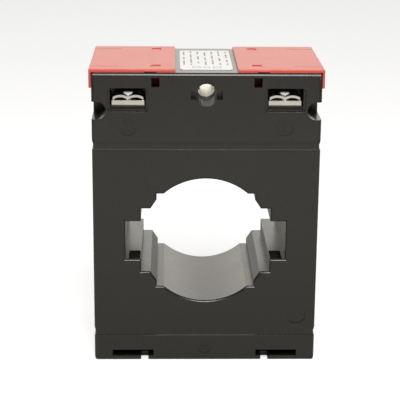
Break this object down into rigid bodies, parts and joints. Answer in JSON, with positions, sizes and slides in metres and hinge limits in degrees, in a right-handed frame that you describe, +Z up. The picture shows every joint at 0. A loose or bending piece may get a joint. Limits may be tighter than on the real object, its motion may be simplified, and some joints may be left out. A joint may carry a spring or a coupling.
{
  "type": "current transformer",
  "caption": "Window-type current transformer in a moulded case with a stepped busbar window, clamp terminals and lift-off terminal covers.",
  "frame": {"origin": "middle of the underside", "axes": "+X to the right and +Z up, seen from the terminal side, which faces -Y; the window's axis is along Y"},
  "size_m": [0.088, 0.0546, 0.1154],
  "materials": {
    "case_black": "moulded, semi-gloss with a very fine texture",
    "cover_red": "moulded, semi-gloss",
    "label_white": "printed polyester film, satin",
    "nickel_plate": "nickel plated, satin",
    "zinc_steel": "bright zinc plated",
    "core_steel": "wound silicon-steel strip",
    "insulation": "polyester insulation",
    "copper_wire": "enamelled copper wire",
    "foam_pad": "closed-cell foam",
    "lead_sleeve": "insulated wire"
  },
  "bodies": {
    "case": {"front_shell": "case_black", "rear_shell": "case_black", "rating_label": "label_white", "left_terminal_bar": "nickel_plate", "right_terminal_bar": "nickel_plate", "left_square_nut": "zinc_steel", "right_square_nut": "zinc_steel", "fixing_sleeve": "nickel_plate", "strip_core": "core_steel", "front_core_cup": "insulation", "rear_core_cup": "insulation", "secondary_winding": "copper_wire", "winding_tape": "insulation", "front_core_pad": "foam_pad", "rear_core_pad": "foam_pad", "left_lead_wire": "lead_sleeve", "right_lead_wire": "lead_sleeve"},
    "left_cover": {"left_terminal_cover": "cover_red"},
    "right_cover": {"right_terminal_cover": "cover_red"},
    "left_clamp": {"left_clamp_saddle": "nickel_plate"},
    "right_clamp": {"right_clamp_saddle": "nickel_plate"},
    "left_screw": {"left_terminal_screw": "zinc_steel"},
    "right_screw": {"right_terminal_screw": "zinc_steel"}
  },
  "joints": [
    {"name": "left_cover_lift", "type": "slide", "parent": "case", "child": "left_cover", "axis": [0, 0, 1], "range_m": [0, 0.012]},
    {"name": "left_clamp_lift", "type": "slide", "parent": "case", "child": "left_clamp", "axis": [0, 0, 1], "range_m": [0, 0.0025]},
    {"name": "left_screw_turn", "type": "hinge", "parent": "left_clamp", "child": "left_screw", "pos_m": [-0.0294, -0.0195, 0.1053], "axis": [0, 0, 1], "range_deg": [0, 1286]},
    {"name": "right_cover_lift", "type": "slide", "parent": "case", "child": "right_cover", "axis": [0, 0, 1], "range_m": [0, 0.012]},
    {"name": "right_clamp_lift", "type": "slide", "parent": "case", "child": "right_clamp", "axis": [0, 0, 1], "range_m": [0, 0.0025]},
    {"name": "right_screw_turn", "type": "hinge", "parent": "right_clamp", "child": "right_screw", "pos_m": [0.0294, -0.0195, 0.1053], "axis": [0, 0, 1], "range_deg": [0, 1286]}
  ],
  "couplings": [
    {"joint": "left_screw_turn", "follows": "left_clamp_lift", "rad_per_m": 8976},
    {"joint": "right_screw_turn", "follows": "right_clamp_lift", "rad_per_m": 8976}
  ]
}
